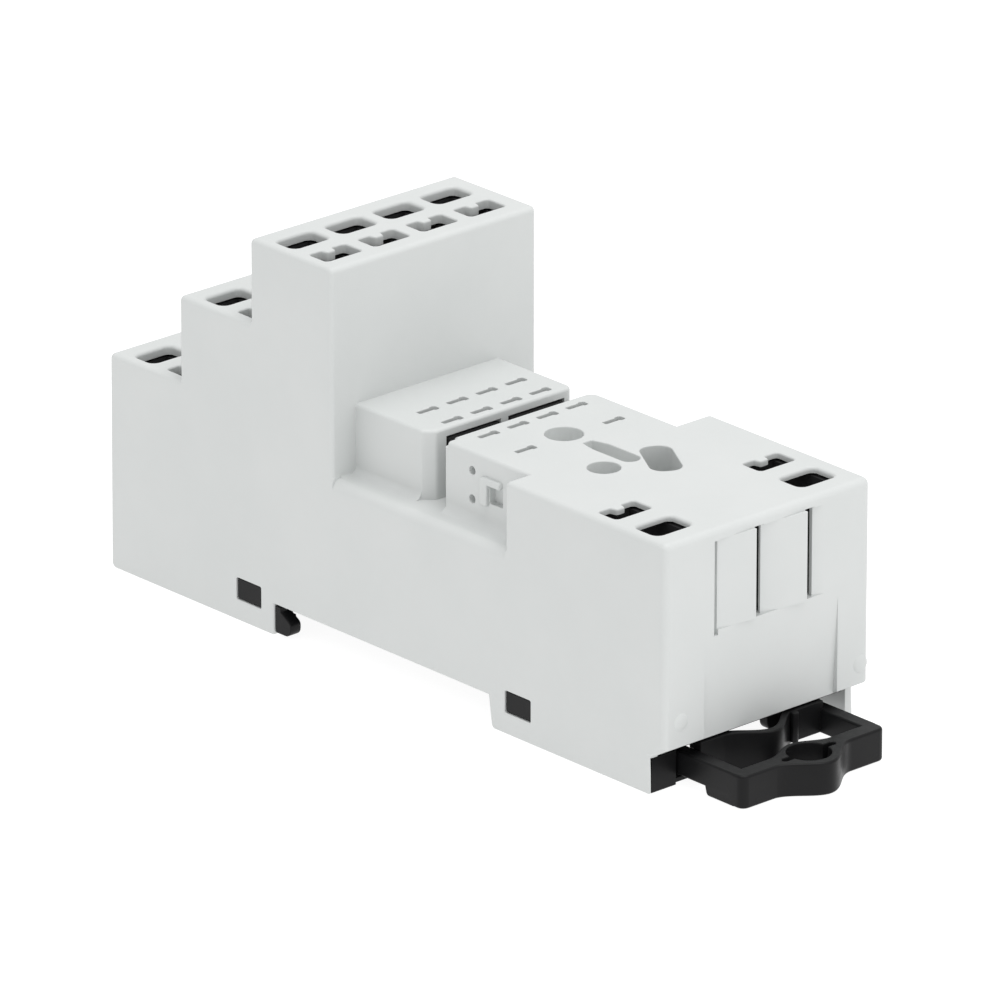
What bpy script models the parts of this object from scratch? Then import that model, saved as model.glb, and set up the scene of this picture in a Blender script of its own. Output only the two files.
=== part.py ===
"""Rail-mounted socket for a four-pole plug-in relay, with spring-clamp terminals.

The socket is a grey stepped housing over a black contact carrier and a black
base frame.  Fourteen clamp springs and fourteen contact bars sit in the
carrier.  A sprung latch slides in the base frame and holds the rail.

Every size below is in millimetres, counted from the housing's own corner:
x from the stepped end towards the latch, y from the side nearest -Y, and z up
from the underside of the feet.  The finished part is in metres, with its
origin in the middle of the face that rests on the rail.
"""

import math
from dataclasses import dataclass

import bmesh
import bpy
from mathutils import Vector

MM = 0.001

# Driving dimensions of the housing.
WIDTH = 30.0
CENTRE_Y = WIDTH / 2
STEP_1 = 11.95
STEP_2 = 23.85
TOWER_END = 37.35
BLOCK_START = 65.3
LENGTH = 90.7
TOP_1 = 25.6
TOP_2 = 35.75
TOP_TOWER = 45.7
TOP_BLOCK = 29.3
LEDGE = 21.25
WALL = 1.2
CEILING = 1.1
END_CEILING = 0.7
GAP = 0.3

# The recess for a 35 mm rail, and the feet on both sides of it.
LEFT_FOOT_END = 27.45
RIGHT_FOOT_START = 62.65
RIGHT_FOOT_TOE = 63.2
FOOT_END = 88.3
RAIL_ROOF = 3.75
RAIL_THROAT = 27.6
THROAT_ROOF = 3.85
END_FACE_BOTTOM = 5.7
END_SLANT_BOTTOM = 4.3

# The face that rests on the rail holds the part's origin.
ORIGIN = ((LEFT_FOOT_END + RIGHT_FOOT_START) / 2, CENTRE_Y, RAIL_ROOF)

# Terminals: a wire entry and a driver slot, counted from each row's own line.
ROWS_CENTRE_Y = 14.5
ROW_OFFSET = 0.65
TERMINAL_PITCH = 7.0
ENTRY_START = 1.9
ENTRY_END = 5.2
DRIVER_START = 7.5
DRIVER_END = 10.55
TERMINAL_HALF_WIDTH = 2.6
DRIVER_TOOTH = 0.9
DRIVER_TOOTH_HALF_WIDTH = 0.55
COIL_EDGE = 89.75
COIL_ENTRY_END = 5.6
COIL_DRIVER_START = 8.25
COIL_DRIVER_END = 11.25

# Relay pins.
PIN_PITCH = 4.3
PIN_SLOT_LENGTH = 2.8
PIN_SLOT_WIDTH = 0.75
BLADE_GAP = 0.8

# Relay bay: the mid block beside the tower and the relay block beyond it.
BAY_FLOOR = 20.05
MID_NEAR = 3.4
MID_FAR = 24.6
MID_END = 49.3
MID_CHAMFER = 1.2
RELAY_NEAR = 3.3
RELAY_FAR = 25.0
RELAY_START = 51.9
BAY_SOLID_END = 76.5

# Rooms inside the two blocks, and the mid block's two windows.
MID_ROOM_START = 38.6
MID_ROOM_END = 46.8
MID_ROOM_SIDES = (4.6, 23.4)
RELAY_ROOM_START = 52.7
RELAY_ROOM_END = 64.1
RELAY_ROOM_SIDES = (4.5, 23.8)
RELAY_ROOM_TOP = 27.1
WINDOWS = ((6.0, 14.0), (15.05, 23.3))
WINDOW_TOP = 28.3
WINDOW_SLOT_END = 49.65

# Carrier and contact bars.
CARRIER_BOTTOM = 16.5
POCKET_START = 1.85
POCKET_END = 10.9
COIL_POCKET_END = 11.55
POCKET_HALF_WIDTH = 2.3
BAR_THICKNESS = 0.8
LEAF_TOP = 26.2
LEAF_THICKNESS = 0.4
LEAF_HALF_WIDTH = 0.75

# Rail latch.
LATCH_NEAR = 4.3
LATCH_FAR = 25.4
LATCH_TOP = 3.9
LATCH_BOTTOM = 0.1
ARM_BOTTOM = 1.1
ARM_WIDTH = 1.8
LATCH_NOSE = 61.0
LATCH_BAR_INNER = 96.1
LATCH_BAR_OUTER = 98.3
RIB_TOP = 4.9
KEYHOLE_X = 97.6
KEYHOLE_Y = 14.6
KEYHOLE_RADIUS = 2.48

# Latch spring, between the latch and the base frame's lug.
SPRING_START = 66.35
LUG_START = 75.2
LUG_END = 76.6
SPRING_HEIGHT = 2.2
SPRING_MEAN_RADIUS = 1.25
SPRING_WIRE_RADIUS = 0.22
SPRING_TURNS = 7

GREY = (0.66, 0.68, 0.67, 1.0)
BLACK = (0.02, 0.02, 0.022, 1.0)
STEEL = (0.62, 0.62, 0.63, 1.0)
TINNED = (0.72, 0.66, 0.52, 1.0)


@dataclass(frozen=True)
class Row:
    """A row of terminals and the relay receptacles that its bars lead to."""

    name: str
    edge: float
    direction: int
    top: float
    entry_end: float
    driver_start: float
    driver_end: float
    pocket_end: float
    bar_level: float
    pin_x: float
    terminal_ys: tuple
    pin_ys: tuple

    def x(self, distance):
        """The x of a point at this distance from the row's edge."""
        return self.edge + self.direction * distance


def spread(count, pitch):
    """Places of this many items, centred on the middle of the rows."""
    return tuple(ROWS_CENTRE_Y + (i - (count - 1) / 2) * pitch for i in range(count))


POLE_YS = spread(4, TERMINAL_PITCH)
PIN_YS = spread(4, PIN_PITCH)
POLE_ROW_SHAPE = (ENTRY_END, DRIVER_START, DRIVER_END, POCKET_END)
COIL_ROW_SHAPE = (COIL_ENTRY_END, COIL_DRIVER_START, COIL_DRIVER_END, COIL_POCKET_END)

ROWS = (
    Row("lower", ROW_OFFSET, 1, TOP_1, *POLE_ROW_SHAPE, 8.8, 53.8, POLE_YS, PIN_YS),
    Row("middle", STEP_1 + ROW_OFFSET, 1, TOP_2, *POLE_ROW_SHAPE, 11.5, 47.9, POLE_YS, PIN_YS),
    Row("upper", STEP_2 + ROW_OFFSET, 1, TOP_TOWER, *POLE_ROW_SHAPE, 14.2, 43.95, POLE_YS, PIN_YS),
    Row("coil", COIL_EDGE, -1, TOP_BLOCK, *COIL_ROW_SHAPE, 8.8, 59.75,
        (POLE_YS[0], POLE_YS[3]), (PIN_YS[0], PIN_YS[3])),
)


# Outlines.

def arc(centre, radius, start, end, steps):
    """Points on an arc, with its angles in degrees."""
    points = []
    for i in range(steps + 1):
        angle = math.radians(start + (end - start) * i / steps)
        points.append((centre[0] + radius * math.cos(angle), centre[1] + radius * math.sin(angle)))
    return points


def rounded(corners, steps=3):
    """Outline through corners given as (a, b) or (a, b, radius)."""
    outline = []
    for i, corner in enumerate(corners):
        here = Vector(corner[:2])
        if len(corner) == 2:
            outline.append(tuple(here))
            continue
        to_last = (Vector(corners[i - 1][:2]) - here).normalized()
        to_next = (Vector(corners[(i + 1) % len(corners)][:2]) - here).normalized()
        half_angle = to_last.angle(to_next) / 2
        radius = corner[2]
        centre = here + (to_last + to_next).normalized() * (radius / math.sin(half_angle))
        from_centre = (here + to_last * (radius / math.tan(half_angle))) - centre
        to_centre = (here + to_next * (radius / math.tan(half_angle))) - centre
        turn = math.atan2(from_centre.cross(to_centre), from_centre.dot(to_centre))
        start = math.degrees(math.atan2(from_centre.y, from_centre.x))
        outline += arc(centre, radius, start, start + math.degrees(turn), steps)
    return outline


def rectangle(a_low, a_high, b_low, b_high, radius=0.0, steps=3):
    """Outline of a rectangle, with round corners if a radius is given."""
    corners = [(a_low, b_low), (a_high, b_low), (a_high, b_high), (a_low, b_high)]
    if radius > 0:
        corners = [(a, b, radius) for a, b in corners]
    return rounded(corners, steps)


def circle(centre, radius, steps):
    """Outline of a circle."""
    return arc(centre, radius, 0, 360, steps)[:-1]


def turned(outline, centre, degrees):
    """An outline turned about a centre."""
    cos, sin = math.cos(math.radians(degrees)), math.sin(math.radians(degrees))
    result = []
    for a, b in outline:
        da, db = a - centre[0], b - centre[1]
        result.append((centre[0] + da * cos - db * sin, centre[1] + da * sin + db * cos))
    return result


def strip(path, thickness):
    """Outline of a bent strip of this thickness around a path."""
    sides = ([], [])
    for i, point in enumerate(path):
        here = Vector(point)
        before = here - Vector(path[i - 1]) if i > 0 else Vector(path[1]) - here
        after = Vector(path[i + 1]) - here if i < len(path) - 1 else before
        along = (before.normalized() + after.normalized()).normalized()
        reach = thickness / 2 / along.dot(after.normalized())
        across = Vector((-along.y, along.x)) * reach
        sides[0].append(tuple(here + across))
        sides[1].append(tuple(here - across))
    return sides[0] + sides[1][::-1]


# Solids.

def world(x, y, z):
    """A point of the socket, in the part's own frame in metres."""
    return Vector((x - ORIGIN[0], y - ORIGIN[1], z - ORIGIN[2])) * MM


def add_prism(bm, outline, axis, low, high):
    """Add an outline extruded along X, Y or Z; it is (y, z), (x, z) or (x, y)."""
    def place(a, b, c):
        return {"X": (c, a, b), "Y": (a, c, b), "Z": (a, b, c)}[axis]

    rings = []
    for level in (low, high):
        rings.append([bm.verts.new(world(*place(a, b, level))) for a, b in outline])
    faces = [bm.faces.new(ring) for ring in rings]
    count = len(outline)
    for i in range(count):
        j = (i + 1) % count
        faces.append(bm.faces.new((rings[0][i], rings[0][j], rings[1][j], rings[1][i])))
    bmesh.ops.recalc_face_normals(bm, faces=faces)


def solid(name, *prisms):
    """An object made of prisms, each (outline, axis, low, high)."""
    bm = bmesh.new()
    for outline, axis, low, high in prisms:
        add_prism(bm, outline, axis, low, high)
    return object_from(name, bm)


def object_from(name, bm):
    """An object that takes over a bmesh."""
    mesh = bpy.data.meshes.new(name)
    bm.to_mesh(mesh)
    bm.free()
    result = bpy.data.objects.new(name, mesh)
    bpy.context.collection.objects.link(result)
    return result


def box(x, y, z):
    """A prism for solid(), from three (low, high) pairs."""
    return rectangle(*x, *y), "Z", z[0], z[1]


def combine(target, tool, operation):
    """Apply a Boolean between two objects and remove the tool."""
    modifier = target.modifiers.new(operation.lower(), "BOOLEAN")
    modifier.operation = operation
    modifier.solver = "EXACT"
    modifier.object = tool
    graph = bpy.context.evaluated_depsgraph_get()
    mesh = bpy.data.meshes.new_from_object(target.evaluated_get(graph))
    target.modifiers.clear()
    target.data = mesh
    mesh.name = target.name
    bpy.data.objects.remove(tool)


def cut(target, *prisms):
    """Cut away prisms that don't touch each other."""
    combine(target, solid("cutter", *prisms), "DIFFERENCE")


def join(target, *prisms):
    """Add prisms that don't touch each other."""
    combine(target, solid("addition", *prisms), "UNION")


def paint(target, colour, roughness, metallic=0.0):
    """Give an object its own Principled material."""
    material = bpy.data.materials.new(target.name)
    material.use_nodes = True
    shader = material.node_tree.nodes["Principled BSDF"]
    shader.inputs["Base Color"].default_value = colour
    shader.inputs["Roughness"].default_value = roughness
    shader.inputs["Metallic"].default_value = metallic
    target.data.materials.clear()
    target.data.materials.append(material)


# Housing.

def driver_outline(row, y):
    """A driver slot with the small tooth in its side nearest the wire entry."""
    near, far = y - TERMINAL_HALF_WIDTH, y + TERMINAL_HALF_WIDTH
    tooth_near, tooth_far = y - DRIVER_TOOTH_HALF_WIDTH, y + DRIVER_TOOTH_HALF_WIDTH
    start = row.driver_start if row.direction > 0 else row.driver_end
    end = row.driver_end if row.direction > 0 else row.driver_start
    left, right = row.x(start), row.x(end)
    tooth = left + DRIVER_TOOTH
    return rounded([
        (left, near, 0.4), (right, near, 0.4), (right, far, 0.4), (left, far, 0.4),
        (left, tooth_far), (tooth, tooth_far - 0.2), (tooth, tooth_near + 0.2), (left, tooth_near),
    ])


def terminal_holes():
    """Wire entries and driver slots through the housing's top walls."""
    holes = []
    for row in ROWS:
        entry = sorted((row.x(ENTRY_START), row.x(row.entry_end)))
        for y in row.terminal_ys:
            sides = (y - TERMINAL_HALF_WIDTH, y + TERMINAL_HALF_WIDTH)
            outline = rectangle(*entry, *sides, radius=0.8)
            holes.append((outline, "Z", row.top - 2.5, row.top + 1))
            holes.append((driver_outline(row, y), "Z", row.top - 2.5, row.top + 1))
    return holes


def pin_slots():
    """Slots that the relay's blades go in through."""
    slots = []
    for row in ROWS:
        for y in row.pin_ys:
            outline = rectangle(row.pin_x - PIN_SLOT_WIDTH / 2, row.pin_x + PIN_SLOT_WIDTH / 2,
                                y - PIN_SLOT_LENGTH / 2, y + PIN_SLOT_LENGTH / 2)
            slots.append((outline, "Z", TOP_BLOCK - 3, TOP_BLOCK + 1))
    return slots


def build_housing():
    """The grey moulding: steps, tower, relay bay, latch-end block and feet."""
    edge = 0.6
    side = rounded([
        (0, 0, 1.0), (LEFT_FOOT_END, 0, 0.3), (LEFT_FOOT_END, RAIL_ROOF),
        (RIGHT_FOOT_START, RAIL_ROOF), (RIGHT_FOOT_TOE, 0, 0.6), (FOOT_END, 0, 0.4),
        (FOOT_END, END_SLANT_BOTTOM), (LENGTH, END_FACE_BOTTOM, 0.2), (LENGTH, TOP_BLOCK, edge),
        (BLOCK_START, TOP_BLOCK, edge), (BLOCK_START, LEDGE), (TOWER_END, LEDGE),
        (TOWER_END, TOP_TOWER, edge), (STEP_2, TOP_TOWER, edge), (STEP_2, TOP_2),
        (STEP_1, TOP_2, edge), (STEP_1, TOP_1), (0, TOP_1, edge),
    ])
    housing = solid("housing", (side, "Y", 0, WIDTH))

    mid = rounded([
        (TOWER_END - 0.6, MID_NEAR), (MID_END - MID_CHAMFER, MID_NEAR), (MID_END, MID_NEAR + MID_CHAMFER),
        (MID_END, MID_FAR, 0.5), (TOWER_END - 0.6, MID_FAR),
    ])
    relay = rounded([
        (RELAY_START, RELAY_NEAR, 0.3), (BLOCK_START + 0.6, RELAY_NEAR), (BLOCK_START + 0.6, RELAY_FAR),
        (RELAY_START, RELAY_FAR, 0.8),
    ])
    join(housing, (mid, "Z", LEDGE - 0.6, TOP_BLOCK), (relay, "Z", LEDGE - 0.6, TOP_BLOCK))

    cavity = [
        (WALL, -1), (WALL, TOP_1 - CEILING), (STEP_1 + WALL, TOP_1 - CEILING),
        (STEP_1 + WALL, TOP_2 - CEILING), (STEP_2 + WALL, TOP_2 - CEILING),
        (STEP_2 + WALL, TOP_TOWER - CEILING), (TOWER_END - WALL, TOP_TOWER - CEILING),
        (TOWER_END - WALL, BAY_FLOOR), (BAY_SOLID_END, BAY_FLOOR),
        (BAY_SOLID_END, TOP_BLOCK - END_CEILING), (LENGTH - WALL, TOP_BLOCK - END_CEILING), (LENGTH - WALL, -1),
    ]
    cut(housing, (cavity, "Y", WALL, WIDTH - WALL))
    cut(housing, box((MID_ROOM_START, MID_ROOM_END), MID_ROOM_SIDES, (BAY_FLOOR - 0.5, WINDOW_TOP)))
    cut(housing, box((RELAY_ROOM_START, RELAY_ROOM_END), RELAY_ROOM_SIDES, (BAY_FLOOR - 0.5, RELAY_ROOM_TOP)))
    for sides in WINDOWS:
        cut(housing, box((MID_ROOM_END - 0.5, WINDOW_SLOT_END), sides, (BAY_FLOOR - 0.5, WINDOW_TOP)))
    cut(housing, box((RELAY_START - 1, RELAY_START + 0.7), (RELAY_NEAR - 1, RELAY_NEAR + 1.6),
                     (TOP_BLOCK - 0.75, TOP_BLOCK + 1)))

    cut(housing, *terminal_holes(), *pin_slots())
    cut(housing, *seat_recesses())
    cut(housing, *side_openings())
    cut(housing, *end_openings())
    paint(housing, GREY, 0.45)
    return housing


def seat_recesses():
    """Blind recesses in the relay block and the latch-end block."""
    peg_slot = rounded([(62.6, 13.7), (64.6, 13.5), (70.2, 13.5, 1.1), (70.2, 15.8, 1.1), (64.6, 15.8),
                        (62.6, 15.2)], steps=4)
    oblong = turned(rectangle(67.7, 75.3, 15.3, 18.9, radius=1.5, steps=4), (71.5, 17.1), -30)
    return [
        (circle((59.15, 14.25), 2.19, 24), "Z", TOP_BLOCK - 1.7, TOP_BLOCK + 1),
        (circle((69.4, 10.7), 1.88, 20), "Z", TOP_BLOCK - 2.5, TOP_BLOCK + 1),
        (peg_slot, "Z", TOP_BLOCK - 1.7, TOP_BLOCK + 1),
        (oblong, "Z", TOP_BLOCK - 6, TOP_BLOCK + 1),
    ]


def side_openings():
    """Snap windows through both sides, and the retaining clip's pivots."""
    openings = []
    for low in (21.2, 65.3):
        openings.append((rectangle(low, low + 4.15, 2.5, 5.1), "Y", -1, WIDTH + 1))
    for z in (23.8, 27.1):
        openings.append((circle((56.4, z), 0.58, 10), "Y", RELAY_NEAR - 1, RELAY_NEAR + 0.8))
        openings.append((circle((56.4, z), 0.58, 10), "Y", RELAY_FAR - 0.8, RELAY_FAR + 1))
    openings.append((rectangle(59.3, 61.3, 24.1, 26.2, radius=0.3), "Y", RELAY_NEAR - 1, RELAY_NEAR + 0.8))
    openings.append((rectangle(59.3, 61.3, 24.1, 26.2, radius=0.3), "Y", RELAY_FAR - 0.8, RELAY_FAR + 1))
    return openings


def end_openings():
    """Vent slits and finger recess in the end face, and room for the base's corner tab."""
    slits = [box((LENGTH - 0.5, LENGTH + 1), (7.2, 7.6), (17.1, 27.9))]
    for low, high in ((13.0, 14.0), (20.4, 21.45)):
        slits.append(box((LENGTH - 2, LENGTH + 1), (low, high), (17.7, 28.1)))
    recess = [(LENGTH + 1, 16.8), (LENGTH, 16.8), (LENGTH - 0.6, 5.0), (LENGTH - 0.6, 3.0), (LENGTH + 1, 3.0)]
    return slits + [
        (recess, "Y", 5.8, 25.3),
        box((86.7, LENGTH + 1), (0.45, WALL + 0.1), (-1, 4.2)),
    ]


# Black insulating pieces.

def build_carrier():
    """The contact carrier: a stepped block with a pocket for each contact."""
    inset = WALL + GAP
    drop = CEILING + GAP
    profile = [
        (inset, CARRIER_BOTTOM), (inset, TOP_1 - drop), (STEP_1 + inset, TOP_1 - drop),
        (STEP_1 + inset, TOP_2 - drop), (STEP_2 + inset, TOP_2 - drop),
        (STEP_2 + inset, TOP_TOWER - drop), (TOWER_END - inset, TOP_TOWER - drop),
        (TOWER_END - inset, BAY_FLOOR - GAP), (BAY_SOLID_END + GAP, BAY_FLOOR - GAP),
        (BAY_SOLID_END + GAP, TOP_BLOCK - END_CEILING - GAP), (LENGTH - inset, TOP_BLOCK - END_CEILING - GAP),
        (LENGTH - inset, CARRIER_BOTTOM),
    ]
    carrier = solid("contact_carrier", (profile, "Y", inset, WIDTH - inset))
    root = BAY_FLOOR - 1.3
    join(carrier, box((MID_ROOM_START + GAP, MID_ROOM_END - GAP), inside(MID_ROOM_SIDES),
                      (root, WINDOW_TOP - GAP)))
    join(carrier, box((RELAY_ROOM_START + GAP, RELAY_ROOM_END - GAP), inside(RELAY_ROOM_SIDES),
                      (root, RELAY_ROOM_TOP - GAP)))
    for sides in WINDOWS:
        join(carrier, box((MID_ROOM_END - 0.6, WINDOW_SLOT_END - GAP), inside(sides),
                          (root, WINDOW_TOP - GAP)))

    pockets = []
    for row in ROWS:
        ends = sorted((row.x(POCKET_START), row.x(row.pocket_end)))
        for y in row.terminal_ys:
            sides = (y - POCKET_HALF_WIDTH, y + POCKET_HALF_WIDTH)
            pockets.append(box(ends, sides, (CARRIER_BOTTOM - 1, row.top + 1)))
        for y in row.pin_ys:
            half_length = BLADE_GAP / 2 + LEAF_THICKNESS + GAP
            pockets.append(box((row.pin_x - half_length, row.pin_x + half_length),
                               (y - LEAF_HALF_WIDTH - GAP, y + LEAF_HALF_WIDTH + GAP),
                               (CARRIER_BOTTOM - 1, LEAF_TOP + GAP)))
            pockets.append(box((row.pin_x - PIN_SLOT_WIDTH / 2, row.pin_x + PIN_SLOT_WIDTH / 2),
                               (y - PIN_SLOT_LENGTH / 2, y + PIN_SLOT_LENGTH / 2),
                               (LEAF_TOP, TOP_BLOCK)))
    cut(carrier, *pockets)
    paint(carrier, BLACK, 0.5)
    return carrier


def inside(sides):
    """A stretch of width with a gap taken off both its ends."""
    return sides[0] + GAP, sides[1] - GAP


def mirrored(low, high):
    """The same stretch of width, on the far side."""
    return WIDTH - high, WIDTH - low


def build_base_frame():
    """The base frame: floor, rail hooks, latch track, end wall and snap tabs."""
    inset = WALL + GAP
    hook_end = 30.1
    profile = rounded([
        (inset, 0, 0.8), (RAIL_THROAT, 0, 0.4), (RAIL_THROAT, THROAT_ROOF),
        (hook_end + GAP, THROAT_ROOF), (hook_end + GAP, RAIL_ROOF),
        (LATCH_NOSE - GAP, RAIL_ROOF), (LATCH_NOSE - GAP, LATCH_TOP + GAP),
        (FOOT_END - 0.1, LATCH_TOP + GAP), (FOOT_END - 0.1, 5.25), (inset, 5.25),
    ], steps=4)
    base = solid("base_frame", (profile, "Y", inset, WIDTH - inset))
    cut(base, box((19.0, RAIL_THROAT + 1), (2.7, 12.0), (-1, THROAT_ROOF)),
        box((19.0, RAIL_THROAT + 1), (18.0, 27.3), (-1, THROAT_ROOF)),
        box((4, 12.5), (4, 26), (-1, 0.8)))

    # Three hooks for the rail: one flush with each side and a wide one between them.
    middle_start = RAIL_THROAT - 0.6
    middle = rounded([(middle_start, 0.05), (hook_end, 0.05, 1.05), (hook_end, 2.2, 1.05), (middle_start, 2.2)])
    join(base, (middle, "Y", 12.3, 17.7))
    stem, stem_end = LEFT_FOOT_END + GAP, LEFT_FOOT_END + 0.8
    hook = rounded([(stem, 0.4), (hook_end, 0.4, 0.9), (hook_end, 2.0, 0.6), (stem_end, 3.0), (stem_end, 3.5),
                    (stem, 3.5)])
    for sides in ((0.15, 1.7), mirrored(0.15, 1.7)):
        join(base, (hook, "Y", *sides))
    for sides in ((1.6, 2.6), mirrored(1.6, 2.6)):
        join(base, box((RAIL_THROAT - 0.3, stem_end - 0.1), sides, (0.5, 2.1)))

    join(base, box((64.0, FOOT_END - 0.4), (inset, LATCH_NEAR - GAP), (0, 4.6)))
    join(base, box((64.0, 80.0), (LATCH_FAR + GAP, WIDTH - inset), (0, 4.6)))
    join(base, box((66.0, FOOT_END - 0.2), (LATCH_NEAR - GAP - 0.2, 5.9), (0.2, 0.8)))
    join(base, box((66.0, 79.8), (24.1, LATCH_FAR + GAP + 0.2), (0.2, 0.8)))
    join(base, box((87.0, FOOT_END), (0.75, LATCH_NEAR - 0.4), (0.2, 4.15)))
    for side in ((7.0, 11.7), (17.3, 23.0)):
        tab = rounded([(side[0], 4.7), (side[0], 2.5, 1.0), (side[1], 2.5, 1.0), (side[1], 4.7)])
        join(base, (tab, "X", 87.0, FOOT_END))
    join(base, box((LUG_START, LUG_END), (13.4, 16.6), (0.6, 4.6)))

    # Snap tabs that fill the housing's four windows.
    for low in (21.5, 65.6):
        for wall, tip in ((inset + 0.4, 0.15), (WIDTH - inset - 0.4, WIDTH - 0.15)):
            bevel = (tip * 4 + wall) / 5
            tab = [(wall, 2.8), (bevel, 2.8), (tip, 3.1), (tip, 4.8), (wall, 4.8)]
            join(base, (tab, "X", low, low + 3.55))
    join(base, *[box((x, x + 1), (3, 27), (4.9, 8.5)) for x in (18.0, 34.0, 50.0, 72.0)])
    paint(base, BLACK, 0.4)
    return base


# Rail latch and its spring.

def bump(y, half_width):
    """A smooth hill of height 1 over the middle of the width."""
    distance = abs(y - KEYHOLE_Y) / half_width
    return math.cos(math.pi / 2 * distance) ** 2 if distance < 1 else 0.0


def across(low, high, steps):
    """Evenly spaced places from low to high."""
    return [low + (high - low) * i / steps for i in range(steps + 1)]


def build_rail_latch():
    """The latch: a plate with a nose under the rail, and a loop to pull it by."""
    latch = solid("rail_latch", box((62.95, 78.0), (LATCH_NEAR, LATCH_FAR), (ARM_BOTTOM, LATCH_TOP)))
    join(latch, box((63.3, 77.7), (6.3, 23.7), (LATCH_BOTTOM, ARM_BOTTOM + 0.4)))
    nose = [(LATCH_NOSE, 1.3), (LATCH_NOSE + 1.3, LATCH_BOTTOM), (64.0, LATCH_BOTTOM), (64.0, 2.3),
            (LATCH_NOSE, 2.3)]
    join(latch, (nose, "Y", 6.3, 23.7))

    outer = [(LATCH_BAR_OUTER + 3.0 * bump(y, 5.7), y) for y in across(9.2, 20.6, 16)]
    inner = [(LATCH_BAR_INNER - 1.6 * bump(y, 4.6), y) for y in across(19.5, 10.3, 12)]
    bar = rounded([(LATCH_BAR_INNER, LATCH_NEAR), (LATCH_BAR_OUTER, LATCH_NEAR, 1.0)] + outer
                  + [(LATCH_BAR_OUTER, LATCH_FAR, 1.0), (LATCH_BAR_INNER, LATCH_FAR)] + inner, steps=4)
    join(latch, (bar, "Z", LATCH_BOTTOM, LATCH_TOP))

    for side in ((LATCH_NEAR, LATCH_NEAR + ARM_WIDTH), (LATCH_FAR - ARM_WIDTH, LATCH_FAR)):
        join(latch, box((77.5, LATCH_BAR_INNER + 0.5), side, (ARM_BOTTOM, LATCH_TOP)))
        join(latch, box((92.6, LATCH_BAR_INNER + 0.5), side, (LATCH_BOTTOM, ARM_BOTTOM + 0.4)))

    # The arched rib behind the keyhole, with its small post.
    rib_back = [(88.9 + 2.8 * bump(y, 5.2), y) for y in across(6.0, 24.0, 24)]
    rib_front = [(x + 1.0, y) for x, y in reversed(rib_back)]
    join(latch, (rib_back + rib_front, "Z", ARM_BOTTOM, RIB_TOP))
    join(latch, (circle((90.3, 19.4), 0.45, 12), "Z", ARM_BOTTOM + 0.2, RIB_TOP))
    join(latch, (rib_back[:12] + rib_front[-12:], "Z", LATCH_BOTTOM + 0.2, ARM_BOTTOM + 0.4))

    cut(latch, (circle((KEYHOLE_X, KEYHOLE_Y), KEYHOLE_RADIUS, 32), "Z", -1, 6))
    cut(latch, box((KEYHOLE_X - 0.4, KEYHOLE_X + 0.4), (KEYHOLE_Y - 3.85, KEYHOLE_Y + 3.85), (-1, 6)))
    cut(latch, box((66.0, 77.0), (12.9, 17.1), (-1, 6)))
    paint(latch, BLACK, 0.4)
    return latch


def build_latch_spring():
    """The compression spring that pulls the latch under the rail."""
    steps_per_turn, sides = 12, 6
    end = LUG_START - GAP - SPRING_WIRE_RADIUS
    start = SPRING_START + SPRING_WIRE_RADIUS
    count = SPRING_TURNS * steps_per_turn
    bm = bmesh.new()
    rings = []
    for i in range(count + 1):
        angle = 2 * math.pi * i / steps_per_turn
        x = start + (end - start) * i / count
        ring = []
        for k in range(sides):
            turn = 2 * math.pi * k / sides
            radius = SPRING_MEAN_RADIUS + SPRING_WIRE_RADIUS * math.cos(turn)
            ring.append(bm.verts.new(world(
                x + SPRING_WIRE_RADIUS * math.sin(turn),
                CENTRE_Y + radius * math.cos(angle),
                SPRING_HEIGHT + radius * math.sin(angle))))
        rings.append(ring)
    for first, second in zip(rings, rings[1:]):
        for k in range(sides):
            m = (k + 1) % sides
            bm.faces.new((first[k], first[m], second[m], second[k]))
    bm.faces.new(rings[0])
    bm.faces.new(rings[-1])
    bmesh.ops.recalc_face_normals(bm, faces=bm.faces)
    spring = object_from("latch_spring", bm)
    spring.data.shade_smooth()
    paint(spring, STEEL, 0.3, metallic=1.0)
    return spring


# Contacts.

def build_clamp_spring(row, number, y):
    """A strip bent over in its pocket, whose free end presses on the wire."""
    arch = arc((8.5, row.top - 5.1), 1.6, 0, 150, 6)
    path = [(10.1, row.top - 8.7)] + arch + [(5.6, row.top - 5.9), (3.6, row.top - 7.9)]
    outline = strip([(row.x(u), z) for u, z in path], 0.4)
    clamp = solid(f"clamp_spring_{row.name}_{number}", (outline, "Y", y - 2.0, y + 2.0))
    paint(clamp, STEEL, 0.3, metallic=1.0)
    return clamp


def build_contact_bar(row, number, y, pin_y):
    """A bar from the terminal down, along and up to two leaves around a relay blade."""
    level = (row.bar_level, row.bar_level + BAR_THICKNESS)
    leg = sorted((row.x(2.05), row.x(2.05 + BAR_THICKNESS)))
    run = sorted((leg[0] if row.direction > 0 else leg[1], row.pin_x))
    half_pin = BLADE_GAP / 2 + LEAF_THICKNESS
    cross = (min(y - 1.4, pin_y - LEAF_HALF_WIDTH), max(y + 1.4, pin_y + LEAF_HALF_WIDTH))
    bar = solid(f"contact_bar_{row.name}_{number}", box(leg, (y - 1.9, y + 1.9), (level[0], row.top - 5.5)))
    join(bar, box(run, (y - 1.4, y + 1.4), level))
    join(bar, box((row.pin_x - half_pin, row.pin_x + half_pin), cross, level))
    for side in (-1, 1):
        leaf = sorted((row.pin_x + side * BLADE_GAP / 2, row.pin_x + side * half_pin))
        join(bar, box(leaf, (pin_y - LEAF_HALF_WIDTH, pin_y + LEAF_HALF_WIDTH),
                      (level[0], LEAF_TOP)))
    paint(bar, TINNED, 0.35, metallic=1.0)
    return bar


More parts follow.
